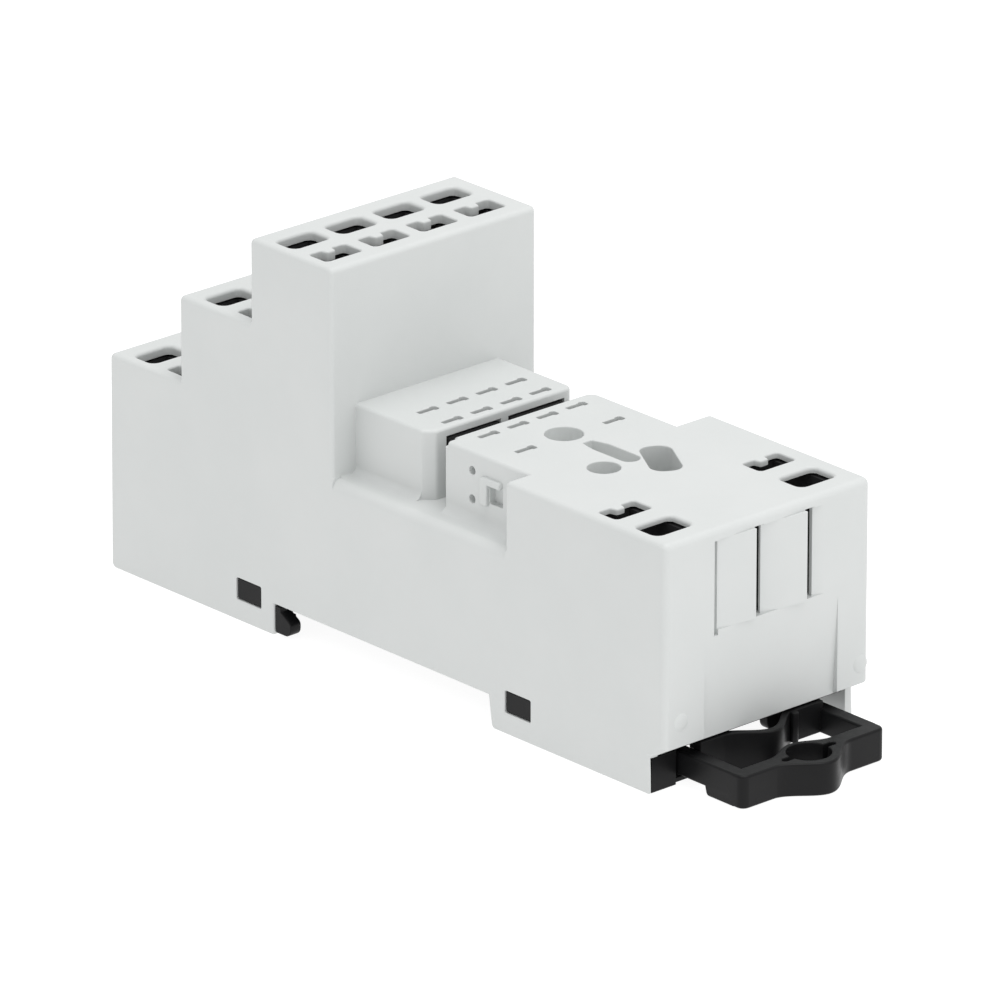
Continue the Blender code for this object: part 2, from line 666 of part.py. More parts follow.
def build():
    """Build every piece and put the latch under its slide axis."""
    for existing in list(bpy.data.objects):
        bpy.data.objects.remove(existing)
    build_housing()
    build_carrier()
    build_base_frame()
    build_latch_spring()
    for row in ROWS:
        for number, (y, pin_y) in enumerate(zip(row.terminal_ys, row.pin_ys), start=1):
            build_clamp_spring(row, number, y)
            build_contact_bar(row, number, y, pin_y)

    latch = build_rail_latch()
    slide = bpy.data.objects.new("latch_slide", None)
    bpy.context.collection.objects.link(slide)
    slide.location = world(KEYHOLE_X, CENTRE_Y, SPRING_HEIGHT)
    latch.data.transform(slide.matrix_basis.inverted())
    latch.parent = slide


build()
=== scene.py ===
"""Looks of the rail-mounted relay socket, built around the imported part.

Sizes are in millimetres, counted from the housing's lowest corner: x from the
stepped end towards the latch, y from the side nearest -Y, z up from the feet.
"""

import math

import bmesh
import bpy
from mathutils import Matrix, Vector

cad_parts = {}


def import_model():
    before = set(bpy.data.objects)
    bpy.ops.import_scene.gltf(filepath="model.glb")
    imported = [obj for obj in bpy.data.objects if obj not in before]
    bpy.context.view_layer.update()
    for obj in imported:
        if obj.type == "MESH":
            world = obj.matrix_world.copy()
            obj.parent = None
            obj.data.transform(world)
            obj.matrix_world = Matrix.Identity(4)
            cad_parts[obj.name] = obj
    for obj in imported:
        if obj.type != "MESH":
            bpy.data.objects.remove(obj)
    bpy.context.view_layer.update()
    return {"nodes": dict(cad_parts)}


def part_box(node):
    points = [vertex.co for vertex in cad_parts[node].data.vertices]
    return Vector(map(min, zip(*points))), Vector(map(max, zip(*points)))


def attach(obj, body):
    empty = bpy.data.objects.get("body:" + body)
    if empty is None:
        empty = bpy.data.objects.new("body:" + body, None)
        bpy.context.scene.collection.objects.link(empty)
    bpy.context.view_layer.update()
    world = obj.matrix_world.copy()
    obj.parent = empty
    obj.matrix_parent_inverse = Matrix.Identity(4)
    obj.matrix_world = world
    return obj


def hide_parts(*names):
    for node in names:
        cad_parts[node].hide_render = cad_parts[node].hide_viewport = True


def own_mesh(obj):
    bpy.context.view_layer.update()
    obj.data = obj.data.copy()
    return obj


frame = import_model()

MM = 0.001
CORNER, FAR_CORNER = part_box("housing")
LENGTH, WIDTH, HEIGHT = (FAR_CORNER - CORNER) / MM

# Housing.
STEP_1, STEP_2, TOWER_END, BLOCK_START = 11.95, 23.85, 37.35, 65.3
TOP_1, TOP_2, TOP_TOWER, TOP_BLOCK, LEDGE = 25.6, 35.75, HEIGHT, 29.3, 21.25
WALL, CEILING, END_CEILING, GAP = 1.2, 1.1, 0.7, 0.3
LEFT_FOOT_END, RIGHT_FOOT_START, RIGHT_FOOT_TOE, FOOT_END = 27.45, 62.65, 63.2, 88.3
RAIL_ROOF, END_SLANT_BOTTOM, END_FACE_BOTTOM = 3.75, 4.3, 5.7
EDGE_RADIUS, CORNER_RADIUS, END_EDGE_RADIUS, INSIDE_RADIUS = 0.55, 0.65, 0.75, 0.3
LEDGE_RADIUS = 1.2
SNAP_WINDOWS = (21.2, 65.3)

# Terminals, whose holes are counted from each row's own line.
ROWS_CENTRE_Y, ROW_OFFSET, COIL_EDGE = 14.5, 0.65, 89.75
TERMINAL_PITCH, HOLE_HALF_WIDTH, HOLE_DEPTH = 7.0, 2.6, 2.5
ENTRY, DRIVER = (1.9, 5.2), (7.5, 10.55)
COIL_ENTRY, COIL_DRIVER = (1.9, 5.6), (8.25, 11.25)

# Relay pins.
PIN_PITCH, COIL_PIN_X = 4.3, 59.75
POLE_PIN_XS = (43.95, 47.9, 53.8)

# Relay bay, with a room inside each block and two windows in the mid block's end.
BAY_FLOOR, BAY_SOLID_END = 20.05, 76.5
MID_NEAR, MID_FAR, MID_END, MID_CHAMFER = 3.4, 24.6, 49.3, 1.2
MID_ROOM, MID_ROOM_SIDES = (38.6, 46.8), (4.6, 23.4)
RELAY_NEAR, RELAY_FAR, RELAY_START = 3.3, 25.0, 51.9
RELAY_ROOM, RELAY_ROOM_SIDES, RELAY_ROOM_TOP = (52.7, 64.1), (4.5, 23.8), 27.1
WINDOWS = ((6.0, 14.0), (15.05, 23.3))
WINDOW_TOP, WINDOW_SLOT_END = 28.3, 49.65

# Retaining clip's pivot holes and recess, in both sides of the relay block.
PIVOT_X, PIVOT_LEVELS, PIVOT_RADIUS = 56.45, (23.8, 27.1), 0.5
CLIP_RECESS_START, CLIP_RECESS_END, CLIP_RECESS_BOTTOM, CLIP_RECESS_TOP = 59.3, 61.4, 24.1, 26.2

# End face: two slits between leaning facets, and the finger recess under them.
SLITS = ((12.9, 14.2), (20.3, 21.65))
SLIT_RELIEFS = ((13.0, 15.4), (20.4, 22.9))
FACET_BOTTOM, FACET_TOP = 17.7, 28.0
FINGER_RECESS_DEPTH, FINGER_RECESS_BOTTOM, FINGER_RECESS_TOP = 0.65, 3.0, 16.9

# Base frame.
THROAT, HOOK_END = 27.6, 30.1
FAR_RAIL_END = 80.0
END_WALL_START, END_WALL_TOP, FRAME_TOP = 87.0, 4.15, 5.25
HOOK_SIDES, MIDDLE_HOOK_SIDES = (0.15, 1.7), (12.3, 17.7)

# Latch.
LATCH_NEAR, LATCH_FAR = 4.3, 25.4
LATCH_TOP, LATCH_BOTTOM, ARM_BOTTOM, ARM_WIDTH = 3.9, 0.1, 1.1, 1.8
LATCH_NOSE, PLATE_START, PLATE_END, BAR_INNER, BAR_OUTER = 61.0, 62.95, 78.0, 96.1, 98.3
RIB_X, RIB_THICKNESS, RIB_TOP = 88.9, 1.0, 4.9
KEYHOLE_X, KEYHOLE_Y, KEYHOLE_RADIUS = 97.6, 14.6, 2.48
NOTCH_HALF_WIDTH, NOTCH_REACH = 0.4, 3.85
SPRING_WIRE_RADIUS = 0.22

# Camera.
AZIMUTH, ELEVATION, DISTANCE = 47.88, 21.56, 1350.7
AIM = (48.0, 15.0, 18.1)
FOCAL_LENGTH = 445.5


# Outlines.

def arc(centre, radius, start, end, steps):
    """Points on an arc, with its angles in degrees."""
    points = []
    for i in range(steps + 1):
        angle = math.radians(start + (end - start) * i / steps)
        points.append((centre[0] + radius * math.cos(angle), centre[1] + radius * math.sin(angle)))
    return points


def rounded(corners, steps=5):
    """Outline through corners given as (a, b) or (a, b, radius)."""
    outline = []
    for i, corner in enumerate(corners):
        here = Vector(corner[:2])
        if len(corner) == 2:
            outline.append(tuple(here))
            continue
        to_last = (Vector(corners[i - 1][:2]) - here).normalized()
        to_next = (Vector(corners[(i + 1) % len(corners)][:2]) - here).normalized()
        half_angle = to_last.angle(to_next) / 2
        radius = corner[2]
        centre = here + (to_last + to_next).normalized() * (radius / math.sin(half_angle))
        from_centre = (here + to_last * (radius / math.tan(half_angle))) - centre
        to_centre = (here + to_next * (radius / math.tan(half_angle))) - centre
        turn = math.atan2(from_centre.cross(to_centre), from_centre.dot(to_centre))
        start = math.degrees(math.atan2(from_centre.y, from_centre.x))
        outline += arc(centre, radius, start, start + math.degrees(turn), steps)
    return outline


def rectangle(a_low, a_high, b_low, b_high, radius=0.0, steps=5):
    """Outline of a rectangle, with round corners if a radius is given."""
    corners = [(a_low, b_low), (a_high, b_low), (a_high, b_high), (a_low, b_high)]
    if radius > 0:
        corners = [(a, b, radius) for a, b in corners]
    return rounded(corners, steps)


def circle(centre, radius, steps=40):
    """Outline of a circle."""
    return arc(centre, radius, 0, 360, steps)[:-1]


def turned(outline, centre, degrees):
    """An outline turned about a centre."""
    cos, sin = math.cos(math.radians(degrees)), math.sin(math.radians(degrees))
    result = []
    for a, b in outline:
        da, db = a - centre[0], b - centre[1]
        result.append((centre[0] + da * cos - db * sin, centre[1] + da * sin + db * cos))
    return result


def grown(outline, distances):
    """An outline whose points are moved outwards, each by its own distance."""
    ends = outline[1:] + outline[:1]
    area = sum(a[0] * b[1] - b[0] * a[1] for a, b in zip(outline, ends))
    side = 1 if area > 0 else -1
    moved = []
    for i, point in enumerate(outline):
        before = Vector(point) - Vector(outline[i - 1])
        after = Vector(ends[i]) - Vector(point)
        normal = Vector((before.y, -before.x)).normalized() * side
        next_normal = Vector((after.y, -after.x)).normalized() * side
        mitre = (normal + next_normal).normalized()
        moved.append(tuple(Vector(point) + mitre * (distances[i] / mitre.dot(normal))))
    return moved


# Solids.

def world(x, y, z):
    """A point of the socket in the frame, in metres."""
    return CORNER + Vector((x, y, z)) * MM


def place(axis, point, level):
    """A point of an outline at a level along X, Y or Z."""
    a, b = point
    return world(*{"X": (level, a, b), "Y": (a, level, b), "Z": (a, b, level)}[axis])


def loft(bm, rings):
    """Add a closed solid that runs through rings of points."""
    rows = [[bm.verts.new(point) for point in ring] for ring in rings]
    faces = [bm.faces.new(rows[0]), bm.faces.new(rows[-1])]
    for first, second in zip(rows, rows[1:]):
        for k in range(len(first)):
            m = (k + 1) % len(first)
            faces.append(bm.faces.new((first[k], first[m], second[m], second[k])))
    bmesh.ops.recalc_face_normals(bm, faces=faces)


def soft_prism(outline, axis, low, high, radius=0.3, low_radius=None, steps=4):
    """A solid with this outline, whose edges around both ends are rounded off."""
    def radii(value):
        return [value(point) if callable(value) else value for point in outline]

    def ring(level, direction, ring_radii, angle):
        points = grown(outline, [-r * (1 - math.cos(angle)) for r in ring_radii])
        levels = [level + direction * r * (1 - math.sin(angle)) for r in ring_radii]
        return [place(axis, point, z) for point, z in zip(points, levels)]

    def rims(level, direction, ring_radii):
        if not any(ring_radii):
            return [ring(level, direction, ring_radii, 0.0)]
        return [ring(level, direction, ring_radii, math.pi / 2 * i / steps) for i in range(steps + 1)]

    bottom = rims(low, 1, radii(radius if low_radius is None else low_radius))
    top = rims(high, -1, radii(radius))
    return lambda bm: loft(bm, bottom[::-1] + top)


def opening(outline, axis, bottom, surface, rim=0.25, steps=4):
    """A cutter for a hole into a surface, which leaves a rounded rim."""
    direction = 1 if surface > bottom else -1
    profile = [(bottom, 0.0)]
    for i in range(steps + 1):
        angle = math.pi / 2 * i / steps
        profile.append((surface - direction * rim * (1 - math.sin(angle)), rim * (1 - math.cos(angle))))
    profile.append((surface + direction, rim))
    rings = []
    for level, distance in profile:
        points = grown(outline, [distance] * len(outline))
        rings.append([place(axis, point, level) for point in points])
    return lambda bm: loft(bm, rings)


def sharp_prism(outline, axis, low, high):
    """A plain extruded outline."""
    rings = [[place(axis, point, level) for point in outline] for level in (low, high)]
    return lambda bm: loft(bm, rings)


def box(x, y, z):
    """A plain box, from three (low, high) pairs."""
    return sharp_prism(rectangle(*x, *y), "Z", *z)


def solid(name, *makers):
    """An object made of one or more solids."""
    bm = bmesh.new()
    for maker in makers:
        maker(bm)
    mesh = bpy.data.meshes.new(name)
    bm.to_mesh(mesh)
    bm.free()
    result = bpy.data.objects.new(name, mesh)
    bpy.context.scene.collection.objects.link(result)
    return result


def combine(target, makers, operation):
    """Apply a Boolean between an object and solids that don't touch each other."""
    tool = solid("tool", *makers)
    modifier = target.modifiers.new(operation.lower(), "BOOLEAN")
    modifier.operation = operation
    modifier.solver = "EXACT"
    modifier.object = tool
    graph = bpy.context.evaluated_depsgraph_get()
    mesh = bpy.data.meshes.new_from_object(target.evaluated_get(graph))
    target.modifiers.clear()
    old = target.data
    target.data = mesh
    bpy.data.meshes.remove(old)
    mesh.name = target.name
    bpy.data.objects.remove(tool)


def cut(target, *makers):
    """Cut solids away."""
    combine(target, makers, "DIFFERENCE")


def join(target, *makers):
    """Add solids."""
    combine(target, makers, "UNION")


def smooth(piece, degrees=32):
    """Shade a piece smoothly, with flat faces kept flat and sharp edges kept sharp."""
    mesh = piece.data
    mesh.polygons.foreach_set("use_smooth", [True] * len(mesh.polygons))
    mesh.set_sharp_from_angle(angle=math.radians(degrees))
    weighted = piece.modifiers.new("weighted_normals", "WEIGHTED_NORMAL")
    weighted.keep_sharp = True
    weighted.weight = 90


def mirrored(low, high):
    """The same stretch of width, on the far side."""
    return WIDTH - high, WIDTH - low


# Materials.

class Nodes:
    """Short ways to add nodes to a material."""

    def __init__(self, name):
        self.material = bpy.data.materials.new(name)
        self.material.use_nodes = True
        self.tree = self.material.node_tree
        self.shader = self.tree.nodes["Principled BSDF"]
        self.place = self.tree.nodes.new("ShaderNodeTexCoord").outputs["Object"]

    def noise(self, size_mm, detail=2.0, stretch=(1, 1, 1)):
        """A noise pattern whose features are about this size."""
        mapping = self.tree.nodes.new("ShaderNodeMapping")
        mapping.inputs["Scale"].default_value = stretch
        self.tree.links.new(self.place, mapping.inputs["Vector"])
        noise = self.tree.nodes.new("ShaderNodeTexNoise")
        noise.inputs["Scale"].default_value = 1 / (size_mm * MM)
        noise.inputs["Detail"].default_value = detail
        self.tree.links.new(mapping.outputs["Vector"], noise.inputs["Vector"])
        return noise.outputs["Fac"]

    def span(self, value, low, high):
        """A value from 0.3 to 0.7 spread to a range."""
        node = self.tree.nodes.new("ShaderNodeMapRange")
        node.inputs["From Min"].default_value = 0.3
        node.inputs["From Max"].default_value = 0.7
        node.inputs["To Min"].default_value = low
        node.inputs["To Max"].default_value = high
        self.tree.links.new(value, node.inputs["Value"])
        return node.outputs["Result"]

    def colours(self, value, first, second):
        """A colour that runs from the first to the second."""
        ramp = self.tree.nodes.new("ShaderNodeValToRGB")
        ramp.color_ramp.elements[0].position = 0.3
        ramp.color_ramp.elements[1].position = 0.7
        ramp.color_ramp.elements[0].color = (*first, 1)
        ramp.color_ramp.elements[1].color = (*second, 1)
        self.tree.links.new(value, ramp.inputs["Fac"])
        return ramp.outputs["Color"]

    def bump(self, value, height_mm, strength=1.0):
        """Bump the surface by a pattern of this height."""
        bump = self.tree.nodes.new("ShaderNodeBump")
        bump.inputs["Distance"].default_value = height_mm * MM
        bump.inputs["Strength"].default_value = strength
        self.tree.links.new(value, bump.inputs["Height"])
        self.tree.links.new(bump.outputs["Normal"], self.shader.inputs["Normal"])

    def set(self, socket, value):
        """Set a shader input to a constant, or link a pattern to it."""
        if hasattr(value, "node"):
            self.tree.links.new(value, self.shader.inputs[socket])
        else:
            self.shader.inputs[socket].default_value = value


def moulded_plastic(name, dark, light, roughness, grain_mm, grain_height_mm, specular=0.5):
    """Moulded plastic with faint mottling and a fine eroded grain."""
    nodes = Nodes(name)
    nodes.set("Base Color", nodes.colours(nodes.noise(9.0, detail=4.0), dark, light))
    cloudy = nodes.noise(1.3, detail=3.0)
    nodes.set("Roughness", nodes.span(cloudy, roughness - 0.04, roughness + 0.04))
    nodes.bump(nodes.noise(grain_mm, detail=3.0), grain_height_mm)
    nodes.set("IOR", 1.5)
    nodes.set("Specular IOR Level", specular)
    return nodes.material


def metal(name, dark, light, roughness, stretch):
    """Rolled or drawn metal with streaks along the stretched direction."""
    nodes = Nodes(name)
    streaks = nodes.noise(0.25, detail=4.0, stretch=stretch)
    nodes.set("Base Color", nodes.colours(nodes.noise(1.8, detail=3.0), dark, light))
    nodes.set("Metallic", 1.0)
    nodes.set("Roughness", nodes.span(streaks, roughness - 0.08, roughness + 0.08))
    nodes.bump(streaks, 0.004)
    return nodes.material


GREY = moulded_plastic("grey_moulding", (0.6, 0.618, 0.612), (0.618, 0.634, 0.628), 0.5, 0.16, 0.006)
BLACK = moulded_plastic(
    "black_moulding", (0.006, 0.006, 0.0065), (0.009, 0.009, 0.0095), 0.36, 0.2, 0.008, specular=0.16)
# The contact carrier is black plastic painted lighter than the black moulding: a painted fill light for
# where it sits in shade deep inside the holes.
CARRIER_WITH_PAINTED_FILL = moulded_plastic(
    "carrier_moulding_painted_fill", (0.028, 0.028, 0.029), (0.034, 0.034, 0.035), 0.5, 0.2, 0.008, specular=0.12)
SPRING_STEEL = metal("spring_steel", (0.55, 0.55, 0.56), (0.66, 0.66, 0.66), 0.28, (0.15, 1, 1))
SPRING_WIRE = metal("spring_wire", (0.5, 0.5, 0.51), (0.62, 0.62, 0.62), 0.25, (1, 0.2, 0.2))
TINNED_COPPER = metal("tinned_copper", (0.66, 0.6, 0.48), (0.76, 0.72, 0.62), 0.35, (0.12, 1, 1))


def dress(piece, material):
    """Give a piece its only material."""
    piece.data.materials.clear()
    piece.data.materials.append(material)


def finish_piece(piece, body, material, node):
    """Material and body of a piece, and the CAD node it stands for."""
    dress(piece, material)
    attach(piece, body)
    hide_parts(node)


# Housing.

def side_radius(point):
    """How round the long edges around both sides are at a point of the side outline."""
    x, z = point
    if x > LENGTH - 1 and z > 5:
        return END_EDGE_RADIUS
    return 0.25 if z < RAIL_ROOF + 0.5 else EDGE_RADIUS


def housing_body():
    """The steps, the tower, the ledge, the block at the latch end and the feet."""
    corner, inside = CORNER_RADIUS, INSIDE_RADIUS
    side = rounded([
        (0, 0, corner), (LEFT_FOOT_END, 0, 0.35), (LEFT_FOOT_END, RAIL_ROOF),
        (RIGHT_FOOT_START, RAIL_ROOF), (RIGHT_FOOT_TOE, 0, 0.6), (FOOT_END, 0, 0.35),
        (FOOT_END, END_SLANT_BOTTOM), (LENGTH, END_FACE_BOTTOM), (LENGTH, TOP_BLOCK, 0.85),
        (BLOCK_START, TOP_BLOCK, corner), (BLOCK_START, LEDGE, inside), (TOWER_END, LEDGE, inside),
        (TOWER_END, TOP_TOWER, corner), (STEP_2, TOP_TOWER, corner), (STEP_2, TOP_2, inside),
        (STEP_1, TOP_2, corner), (STEP_1, TOP_1, inside), (0, TOP_1, corner),
    ])
    return solid("housing_shell", soft_prism(side, "Y", 0, WIDTH, side_radius))


def ledge_rounding(face, direction):
    """A cutter that rounds the ledge's long outer edge."""
    centre = (face + direction * LEDGE_RADIUS, LEDGE - LEDGE_RADIUS)
    start, end = (180, 90) if direction > 0 else (0, 90)
    curve = arc(centre, LEDGE_RADIUS, start, end, 8)
    outside = face - direction
    outline = curve + [(curve[-1][0], LEDGE + 0.6), (outside, LEDGE + 0.6), (outside, curve[0][1])]
    return sharp_prism(outline, "X", TOWER_END + 0.02, BLOCK_START - 0.02)


def base_fillet(face, direction, x_range, radius):
    """A soft inside corner between the ledge and a block's side."""
    centre = (face - direction * radius, LEDGE + radius)
    start, end = (270, 360) if direction > 0 else (270, 180)
    curve = arc(centre, radius, start, end, 6)
    inside = face + direction * 0.4
    outline = [(curve[0][0], LEDGE - 0.4)] + curve + [(inside, curve[-1][1]), (inside, LEDGE - 0.4)]
    return sharp_prism(outline, "X", *x_range)


def relay_bay():
    """The mid block beside the tower and the relay block beyond it."""
    mid = rounded([
        (TOWER_END - 1, MID_NEAR), (MID_END - MID_CHAMFER, MID_NEAR, 0.6),
        (MID_END, MID_NEAR + MID_CHAMFER, 0.6), (MID_END, MID_FAR, 0.9), (TOWER_END - 1, MID_FAR),
    ])
    relay = rounded([
        (RELAY_START, RELAY_NEAR, 0.5), (BLOCK_START + 1, RELAY_NEAR), (BLOCK_START + 1, RELAY_FAR),
        (RELAY_START, RELAY_FAR, 1.2),
    ])
    bottom = LEDGE - 0.7
    return (
        soft_prism(mid, "Z", bottom, TOP_BLOCK, 0.4, low_radius=0),
        soft_prism(relay, "Z", bottom, TOP_BLOCK, 0.4, low_radius=0),
    )


def driver_slot(row, y):
    """A driver slot's outline, with a small tooth in its side nearest the stepped end."""
    left, right = sorted((row["x"](row["driver"][0]), row["x"](row["driver"][1])))
    near, far = y - HOLE_HALF_WIDTH, y + HOLE_HALF_WIDTH
    tooth = left + 0.9
    return rounded([
        (left, near, 0.45), (right, near, 0.45), (right, far, 0.45), (left, far, 0.45),
        (left, y + 0.8, 0.2), (tooth, y + 0.6, 0.3), (tooth, y - 0.6, 0.3), (left, y - 0.8, 0.2),
    ], steps=3)


def spread(pitch):
    """The sides of the four poles, centred on the middle of the rows."""
    return [ROWS_CENTRE_Y + pitch * (i - 1.5) for i in range(4)]


def terminal_rows():
    """Where each row of terminals starts, which way it runs, and its holes."""
    pole_ys = spread(TERMINAL_PITCH)
    rows = []
    for step, top in ((0, TOP_1), (STEP_1, TOP_2), (STEP_2, TOP_TOWER)):
        start = step + ROW_OFFSET
        rows.append({"x": lambda u, start=start: start + u, "top": top, "ys": pole_ys,
                     "entry": ENTRY, "driver": DRIVER})
    rows.append({"x": lambda u: COIL_EDGE - u, "top": TOP_BLOCK, "ys": (pole_ys[0], pole_ys[3]),
                 "entry": COIL_ENTRY, "driver": COIL_DRIVER})
    return rows


def terminal_holes():
    """Cutters for the wire entries and the driver slots."""
    holes = []
    for row in terminal_rows():
        entry = sorted(row["x"](u) for u in row["entry"])
        bottom, surface = row["top"] - HOLE_DEPTH, row["top"]
        for y in row["ys"]:
            outline = rectangle(*entry, y - HOLE_HALF_WIDTH, y + HOLE_HALF_WIDTH, 0.8)
            holes.append(opening(outline, "Z", bottom, surface, 0.45))
            holes.append(opening(driver_slot(row, y), "Z", bottom, surface, 0.25))
    return holes


def pin_slot(x, y):
    """The outline of a relay blade's slot, wider at its far end."""
    half, wide, length = 0.36, 0.56, 1.4
    return rounded([
        (x - half, y - length, 0.15), (x + half, y - length, 0.15), (x + half, y + 0.55),
        (x + wide, y + 0.75), (x + wide, y + length, 0.3), (x - wide, y + length, 0.3),
        (x - wide, y + 0.75), (x - half, y + 0.55),
    ], steps=2)


def pin_slots():
    """Cutters for the slots that the relay's blades go in through."""
    pole_ys = spread(PIN_PITCH)
    places = [(x, y) for x in POLE_PIN_XS for y in pole_ys]
    places += [(COIL_PIN_X, pole_ys[0]), (COIL_PIN_X, pole_ys[3])]
    return [opening(pin_slot(x, y), "Z", TOP_BLOCK - 3, TOP_BLOCK, 0.1) for x, y in places]


def cavity():
    """The side outline of the room inside the housing, open at the bottom."""
    ceiling_1, ceiling_2, ceiling_tower = TOP_1 - CEILING, TOP_2 - CEILING, TOP_TOWER - CEILING
    ceiling_end = TOP_BLOCK - END_CEILING
    return [
        (WALL, -1), (WALL, ceiling_1), (STEP_1 + WALL, ceiling_1), (STEP_1 + WALL, ceiling_2),
        (STEP_2 + WALL, ceiling_2), (STEP_2 + WALL, ceiling_tower), (TOWER_END - WALL, ceiling_tower),
        (TOWER_END - WALL, BAY_FLOOR), (BAY_SOLID_END, BAY_FLOOR), (BAY_SOLID_END, ceiling_end),
        (LENGTH - WALL, ceiling_end), (LENGTH - WALL, -1),
    ]


def wells():
    """Blind recesses in the top of the relay block and the block at the latch end."""
    slot = rounded([
        (62.5, 13.9, 0.2), (64.6, 13.5), (70.3, 13.5, 1.1),
        (70.3, 15.8, 1.1), (64.6, 15.8), (62.5, 15.2, 0.2),
    ], steps=8)
    oblong = turned(rectangle(67.7, 75.3, 15.3, 18.9, radius=1.5, steps=8), (71.5, 17.1), -30)
    return (
        opening(circle((59.15, 14.25), 2.15), "Z", TOP_BLOCK - 1.7, TOP_BLOCK, 0.15),
        opening(circle((69.4, 10.7), 1.85), "Z", TOP_BLOCK - 2.5, TOP_BLOCK, 0.15),
        opening(slot, "Z", TOP_BLOCK - 1.7, TOP_BLOCK, 0.15),
        opening(oblong, "Z", TOP_BLOCK - 6, TOP_BLOCK, 0.15),
    )


def end_louvres():
    """The leaning facets beside the vent slits: parts to cut and parts to add."""
    cuts, additions = [], []
    (first_near, first_far), (second_near, second_far) = SLITS
    facets = ((7.55, 0.25, 9.7, first_near, 0.34), (first_far, 0.45, 16.6, second_near, 0.42),
              (second_far, 0.3, 23.2, 23.2, 0))
    for start, depth, level, end, height in facets:
        sunk = [(LENGTH + 1, start), (LENGTH - depth, start), (LENGTH, level), (LENGTH + 1, level)]
        cuts.append(sharp_prism(sunk, "Z", FACET_BOTTOM, FACET_TOP))
        if height:
            raised = [(LENGTH - 0.4, level), (LENGTH, level), (LENGTH + height, end), (LENGTH - 0.4, end)]
            additions.append(sharp_prism(raised, "Z", FACET_BOTTOM, FACET_TOP))
    return cuts, additions


def end_slits():
    """A shallow groove in the end face, and the two slits that go through it."""
    groove = box((LENGTH - 0.55, LENGTH + 1), (7.1, 7.7), (17.1, 27.95))
    slits = [box((LENGTH - 2, LENGTH + 1), sides, (FACET_BOTTOM, FACET_TOP + 0.1)) for sides in SLITS]
    return [groove] + slits


def slit_reliefs():
    """Thinner walls beside the two slits, cut from the inside."""
    wall = (LENGTH - WALL - 0.1, LENGTH - 0.75)
    return [box(wall, sides, (FACET_BOTTOM + 0.1, FACET_TOP)) for sides in SLIT_RELIEFS]


def finger_recess():
    """A cutter for the shallow recess that deepens towards the end face's lower edge."""
    inner = LENGTH - FINGER_RECESS_DEPTH
    outline = [(LENGTH + 1, FINGER_RECESS_TOP), (LENGTH, FINGER_RECESS_TOP), (inner, 5.0),
               (inner, FINGER_RECESS_BOTTOM), (LENGTH + 1, FINGER_RECESS_BOTTOM)]
    return sharp_prism(outline, "Y", 5.75, 25.3)


def pip(y, z):
    """A low dome on the end face."""
    rings = []
    for i in range(7):
        angle = math.pi / 2 * i / 6.5
        radius = 1.1 * math.cos(angle)
        level = LENGTH - 0.1 + 0.27 * math.sin(angle)
        rings.append([place("X", point, level) for point in circle((y, z), radius, 24)])
    return lambda bm: loft(bm, rings)


def side_openings():
    """Snap windows in both sides, and the retaining clip's pivots on the relay block."""
    openings = []
    for low in SNAP_WINDOWS:
        for bottom, surface in ((3, 0), (WIDTH - 3, WIDTH)):
            outline = rectangle(low, low + 4.15, 2.5, 5.1, 0.2, steps=3)
            openings.append(opening(outline, "Y", bottom, surface, 0.1))
    for bottom, surface in ((RELAY_NEAR + 0.8, RELAY_NEAR), (RELAY_FAR - 0.8, RELAY_FAR)):
        for z in PIVOT_LEVELS:
            openings.append(opening(circle((PIVOT_X, z), PIVOT_RADIUS, 20), "Y", bottom, surface, 0.08))
        outline = rectangle(CLIP_RECESS_START, CLIP_RECESS_END, CLIP_RECESS_BOTTOM, CLIP_RECESS_TOP,
                            0.15, steps=3)
        openings.append(opening(outline, "Y", bottom, surface, 0.05))
    return openings


def clip_lips():
    """The raised corner above each clip recess."""
    lips = []
    for low, high in ((RELAY_NEAR - 0.45, RELAY_NEAR + 0.3), (RELAY_FAR - 0.3, RELAY_FAR + 0.45)):
        outline = rounded([
            (58.0, 23.7, 0.3), (59.2, 23.7, 0.3), (59.2, CLIP_RECESS_TOP),
            (61.3, CLIP_RECESS_TOP, 0.2), (61.3, 27.0, 0.3), (58.0, 27.0, 0.5),
        ], steps=3)
        lips.append(soft_prism(outline, "Y", low, high, 0.2))
    return lips


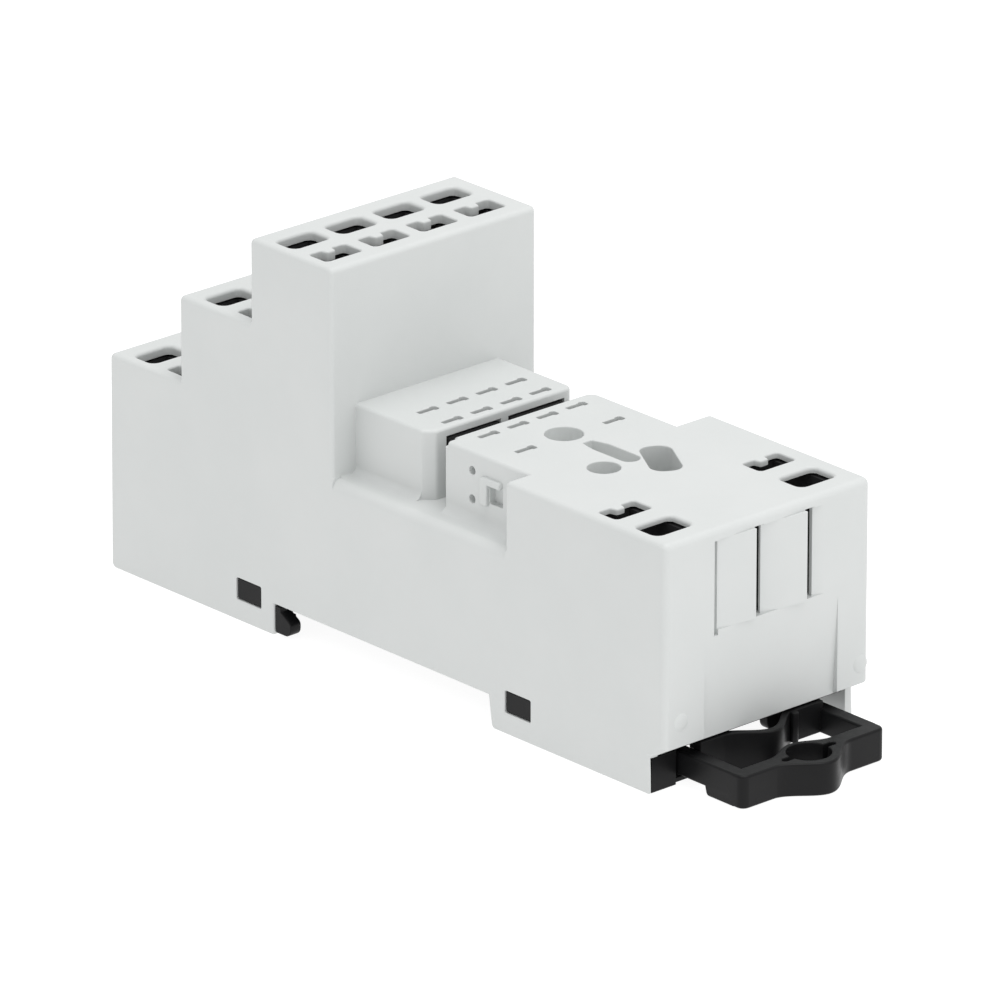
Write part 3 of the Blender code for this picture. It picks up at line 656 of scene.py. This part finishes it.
def build_housing():
    """The grey housing with everything moulded into it."""
    housing = housing_body()
    cut(housing, ledge_rounding(0, 1), ledge_rounding(WIDTH, -1))
    for block in relay_bay():
        join(housing, block)
    for face, direction in ((RELAY_NEAR, 1), (RELAY_FAR, -1)):
        join(housing, base_fillet(face, direction, (RELAY_START + 0.5, BLOCK_START + 0.2), 1.2))
    for face, direction in ((MID_NEAR, 1), (MID_FAR, -1)):
        join(housing, base_fillet(face, direction, (TOWER_END - 0.2, MID_END - MID_CHAMFER), 0.9))

    room_floor = BAY_FLOOR - 0.5
    cut(housing, sharp_prism(cavity(), "Y", WALL, WIDTH - WALL))
    cut(housing, box(MID_ROOM, MID_ROOM_SIDES, (room_floor, WINDOW_TOP)))
    cut(housing, box(RELAY_ROOM, RELAY_ROOM_SIDES, (room_floor, RELAY_ROOM_TOP)))
    for sides in WINDOWS:
        cut(housing, box((MID_ROOM[1] - 0.5, WINDOW_SLOT_END), sides, (room_floor, WINDOW_TOP)))
    notch = rounded([(RELAY_START - 1, RELAY_NEAR - 1), (RELAY_START + 0.7, RELAY_NEAR - 1),
                     (RELAY_START + 0.7, RELAY_NEAR + 1.6, 0.4), (RELAY_START - 1, RELAY_NEAR + 1.6)])
    cut(housing, sharp_prism(notch, "Z", TOP_BLOCK - 0.75, TOP_BLOCK + 1))

    cut(housing, *terminal_holes())
    cut(housing, *pin_slots())
    cut(housing, *wells())
    cut(housing, *side_openings())
    for lip in clip_lips():
        join(housing, lip)

    cuts, additions = end_louvres()
    cut(housing, *cuts)
    for addition in additions:
        join(housing, addition)
    cut(housing, *end_slits())
    cut(housing, *slit_reliefs())
    cut(housing, finger_recess())
    join(housing, pip(2.4, 8.5), pip(28.7, 8.0))
    cut(housing, box((END_WALL_START - GAP, LENGTH + 1), (0.25, WALL + 0.1), (-1, LATCH_TOP + GAP)))
    smooth(housing)
    finish_piece(housing, "socket", GREY, "housing")


# Base frame.

def add_rail_hooks(base):
    """Three hooks for the rail: one flush with each side and a wide one between them."""
    start = THROAT - 0.6
    middle = rounded([(start, 0.05, 0.2), (HOOK_END, 0.05, 1.05), (HOOK_END, 2.2, 1.05), (start, 2.2, 0.2)])
    join(base, soft_prism(middle, "Y", *MIDDLE_HOOK_SIDES, 0.15))
    stem, stem_end = LEFT_FOOT_END + 0.12, LEFT_FOOT_END + 1.0
    hook = rounded([(stem, 0.4, 0.2), (HOOK_END, 0.4, 0.9), (HOOK_END, 2.0, 0.6), (stem_end, 3.0, 0.2),
                    (stem_end, 3.55), (stem, 3.55)])
    for side in (HOOK_SIDES, mirrored(*HOOK_SIDES)):
        join(base, soft_prism(hook, "Y", *side, 0.1))
    for side in ((1.5, 2.6), mirrored(1.5, 2.6)):
        join(base, box((THROAT - 0.3, stem_end - 0.2), side, (0.5, 2.1)))


def add_latch_track(base, inset):
    """The two rails beside the latch, each with a lip under the latch's arm."""
    near_rail = (FOOT_END - 0.2, (inset, LATCH_NEAR - GAP), (LATCH_NEAR - 0.5, 5.9))
    far_rail = (FAR_RAIL_END, (LATCH_FAR + GAP, WIDTH - inset), (24.1, LATCH_FAR + 0.5))
    for end, side, lip in (near_rail, far_rail):
        join(base, soft_prism(rectangle(64.0, end - 0.2, *side, 0.4), "Z", 0, 4.6, 0.2))
        join(base, soft_prism(rectangle(66.0, end - 0.1, *lip), "Z", 0.2, 0.8, 0.1))


def build_base_frame():
    """The black frame: floor, hooks, latch track, end wall and snap tabs."""
    inset, nose_room, track_roof = WALL + GAP, LATCH_NOSE - GAP, LATCH_TOP + GAP
    profile = rounded([
        (inset, 0, 0.8), (THROAT, 0, 0.4), (THROAT, RAIL_ROOF), (nose_room, RAIL_ROOF),
        (nose_room, track_roof), (FOOT_END - 0.1, track_roof), (FOOT_END - 0.1, FRAME_TOP),
        (inset, FRAME_TOP),
    ], steps=6)
    base = solid("base_shell", soft_prism(profile, "Y", inset, WIDTH - inset, 0.2))
    for low, high in ((2.7, 12.0), (18.0, 27.3)):
        cut(base, box((19.0, THROAT + 1), (low, high), (-1, RAIL_ROOF)))
    cut(base, opening(rectangle(4, 12.5, 4, 26, 0.8), "Z", 0.8, 0, 0.15))

    add_rail_hooks(base)
    add_latch_track(base, inset)
    join(base, soft_prism(
        rectangle(END_WALL_START, FOOT_END, 0.35, LATCH_NEAR - 0.4), "Z", 0.1, END_WALL_TOP, 0.12))
    for near, far in ((7.0, 11.7), (17.3, 23.0)):
        tab = rounded([(near, 4.7), (near, 2.5, 1.0), (far, 2.5, 1.0), (far, 4.7)])
        join(base, soft_prism(tab, "X", END_WALL_START, FOOT_END, 0.12))
    spring_lug = rectangle(75.2, 76.6, 13.4, 16.6, 0.3)
    join(base, soft_prism(spring_lug, "Z", 0.6, 4.6, 0.15))
    for low in SNAP_WINDOWS:
        for wall, tip in ((inset + 0.4, 0.15), (WIDTH - inset - 0.4, WIDTH - 0.15)):
            outline = rectangle(low + 0.1, low + 4.05, 2.6, 5.0, 0.15)
            join(base, soft_prism(outline, "Y", *sorted((wall, tip)), 0.1))
    ribs = [rectangle(x, x + 1, 3, 27, 0.3) for x in (18, 34, 50, 72)]
    join(base, *[soft_prism(rib, "Z", 4.9, 8.5, 0.15) for rib in ribs])
    smooth(base)
    finish_piece(base, "socket", BLACK, "base_frame")


# Rail latch and its spring.

def bump(y, half_width):
    """A smooth hill of height 1 over the middle of the width."""
    distance = abs(y - KEYHOLE_Y) / half_width
    return math.cos(math.pi / 2 * distance) ** 2 if distance < 1 else 0.0


def across(low, high, steps):
    """Evenly spaced places from low to high."""
    return [low + (high - low) * i / steps for i in range(steps + 1)]


def keyhole_outline():
    """A round hole with a narrow notch on either side of it."""
    edge = math.degrees(math.asin(NOTCH_HALF_WIDTH / KEYHOLE_RADIUS))
    centre = (KEYHOLE_X, KEYHOLE_Y)
    outline = arc(centre, KEYHOLE_RADIUS, -90 + edge, 90 - edge, 24)
    outline += arc((KEYHOLE_X, KEYHOLE_Y + NOTCH_REACH - NOTCH_HALF_WIDTH), NOTCH_HALF_WIDTH, 0, 180, 6)
    outline += arc(centre, KEYHOLE_RADIUS, 90 + edge, 270 - edge, 24)
    outline += arc((KEYHOLE_X, KEYHOLE_Y - NOTCH_REACH + NOTCH_HALF_WIDTH), NOTCH_HALF_WIDTH, 180, 360, 6)
    return outline


def build_rail_latch():
    """The latch: plate, nose, arms, arched rib and the loop that is pulled."""
    plate = rectangle(PLATE_START, PLATE_END, LATCH_NEAR, LATCH_FAR, 0.4)
    latch = solid("latch_body", soft_prism(plate, "Z", ARM_BOTTOM, LATCH_TOP, 0.2))
    tongue = rectangle(63.3, 77.7, 6.3, 23.7, 0.3)
    join(latch, soft_prism(tongue, "Z", LATCH_BOTTOM, ARM_BOTTOM + 0.4, 0.15))
    nose = [(LATCH_NOSE, 1.3), (LATCH_NOSE + 1.3, LATCH_BOTTOM), (64.0, LATCH_BOTTOM), (64.0, 2.3),
            (LATCH_NOSE, 2.3)]
    join(latch, soft_prism(nose, "Y", 6.35, 23.65, 0.15))

    outer = [(BAR_OUTER + 3.0 * bump(y, 5.7), y) for y in across(9.2, 20.6, 40)]
    inner = [(BAR_INNER - 1.6 * bump(y, 4.6), y) for y in across(19.5, 10.3, 30)]
    bar = rounded([(BAR_INNER, LATCH_NEAR), (BAR_OUTER, LATCH_NEAR, 1.0)] + outer
                  + [(BAR_OUTER, LATCH_FAR, 1.0), (BAR_INNER, LATCH_FAR)] + inner, steps=8)
    join(latch, soft_prism(bar, "Z", LATCH_BOTTOM, LATCH_TOP, 0.3))
    for side in ((LATCH_NEAR, LATCH_NEAR + ARM_WIDTH), (LATCH_FAR - ARM_WIDTH, LATCH_FAR)):
        arm_end = BAR_INNER + 0.6
        join(latch, soft_prism(rectangle(77.3, arm_end, *side), "Z", ARM_BOTTOM, LATCH_TOP, 0.25))
        foot = [(92.6, LATCH_BOTTOM, 0.5), (arm_end, LATCH_BOTTOM), (arm_end, ARM_BOTTOM + 0.5),
                (92.2, ARM_BOTTOM + 0.5)]
        join(latch, soft_prism(rounded(foot), "Y", side[0] + 0.01, side[1] - 0.01, 0.2))

    rib_back = [(RIB_X + 2.8 * bump(y, 5.2), y) for y in across(6.0, 24.0, 60)]
    rib_front = [(x + RIB_THICKNESS, y) for x, y in reversed(rib_back)]
    join(latch, soft_prism(rib_back + rib_front, "Z", ARM_BOTTOM + 0.02, RIB_TOP - 0.02, 0.2))
    join(latch, soft_prism(circle((90.3, 19.4), 0.45, 20), "Z", ARM_BOTTOM + 0.3, RIB_TOP, 0.12))
    join(latch, sharp_prism(rib_back[:30] + rib_front[-30:], "Z", LATCH_BOTTOM + 0.2, ARM_BOTTOM + 0.4))

    keyhole = keyhole_outline()
    cut(latch, opening(keyhole, "Z", 2.0, LATCH_TOP, 0.15))
    cut(latch, opening(keyhole, "Z", 2.2, LATCH_BOTTOM, 0.15))
    cut(latch, sharp_prism(rectangle(66.0, 77.0, 12.9, 17.1, 0.3), "Z", -1, 6))
    smooth(latch)
    finish_piece(latch, "latch", BLACK, "rail_latch")


def build_latch_spring():
    """The coil spring between the latch and the frame's lug, with closed ends."""
    low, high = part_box("latch_spring")
    wire = SPRING_WIRE_RADIUS * MM
    radius = (high.y - low.y) / 2 - wire
    centre = (low + high) / 2
    turns, per_turn, sides = 8.5, 32, 10
    count = int(turns * per_turn)
    open_length = high.x - low.x - 2 * wire - 4 * wire
    rings = []
    for i in range(count + 1):
        share = i / count
        open_share = min(max((share * turns - 1) / (turns - 2), 0), 1)
        closed_turns = min(share * turns, 1) + min(max(share * turns - (turns - 1), 0), 1)
        x = low.x + wire + open_length * open_share + 2 * wire * closed_turns
        angle = 2 * math.pi * i / per_turn
        ring = []
        for k in range(sides):
            turn = 2 * math.pi * k / sides
            reach = radius + wire * math.cos(turn)
            ring.append(Vector((x + wire * math.sin(turn), centre.y + reach * math.cos(angle),
                                centre.z + reach * math.sin(angle))))
        rings.append(ring)
    spring = solid("latch_spring_coil", lambda bm: loft(bm, rings))
    smooth(spring, 60)
    finish_piece(spring, "socket", SPRING_WIRE, "latch_spring")
    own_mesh(spring)


def dress_inner_nodes():
    """Materials of the CAD nodes that keep their shape."""
    for name, node in frame["nodes"].items():
        if name.startswith("clamp_spring"):
            dress(node, SPRING_STEEL)
        elif name.startswith("contact_bar"):
            dress(node, TINNED_COPPER)
        # The carrier's colour is painted lighter than its black plastic, as painted fill light in the
        # shaded holes.
        elif name == "contact_carrier":
            dress(node, CARRIER_WITH_PAINTED_FILL)


# Studio.

def build_floor():
    """A wide pale floor under the feet."""
    floor = solid("floor", lambda bm: bmesh.ops.create_circle(bm, cap_ends=True, radius=6, segments=96))
    floor.location = (0, 0, CORNER.z - 0.02 * MM)
    nodes = Nodes("pale_floor")
    nodes.set("Base Color", nodes.colours(nodes.noise(40.0), (0.24, 0.24, 0.24), (0.26, 0.26, 0.26)))
    nodes.set("Emission Color", (1, 1, 1, 1))
    nodes.set("Emission Strength", 0.94)
    nodes.set("Roughness", 0.9)
    nodes.set("Specular IOR Level", 0.1)
    dress(floor, nodes.material)


def softbox(name, location, size, power):
    """A square soft light that points at the socket."""
    light = bpy.data.lights.new(name, "AREA")
    light.size = size
    light.energy = power
    lamp = bpy.data.objects.new(name, light)
    bpy.context.scene.collection.objects.link(lamp)
    lamp.location = location
    lamp.rotation_euler = (-Vector(location)).to_track_quat("-Z", "Y").to_euler()


def build_studio():
    """White surroundings and soft lights."""
    scene = bpy.context.scene
    world_light = bpy.data.worlds.new("studio")
    world_light.use_nodes = True
    background = world_light.node_tree.nodes["Background"]
    background.inputs["Color"].default_value = (1, 1, 1, 1)
    background.inputs["Strength"].default_value = 0.78
    scene.world = world_light
    scene.view_settings.view_transform = "Standard"
    softbox("top_light", (0.1, 0.05, 0.9), 0.7, 4.5)
    softbox("end_light", (0.27, 0.0, 0.07), 0.2, 0.07)


def build_camera():
    """The camera, far away and with a long lens."""
    camera = bpy.data.objects.new("camera", bpy.data.cameras.new("camera"))
    bpy.context.scene.collection.objects.link(camera)
    azimuth, elevation = math.radians(AZIMUTH), math.radians(ELEVATION)
    back = Vector((math.sin(azimuth) * math.cos(elevation), -math.cos(azimuth) * math.cos(elevation),
                   math.sin(elevation)))
    camera.location = world(*AIM) + back * DISTANCE * MM
    camera.rotation_euler = back.to_track_quat("Z", "Y").to_euler()
    camera.data.sensor_width = 36
    camera.data.lens = FOCAL_LENGTH
    camera.data.clip_end = 50
    bpy.context.scene.camera = camera


build_housing()
build_base_frame()
build_rail_latch()
build_latch_spring()
dress_inner_nodes()
build_floor()
build_studio()
build_camera()
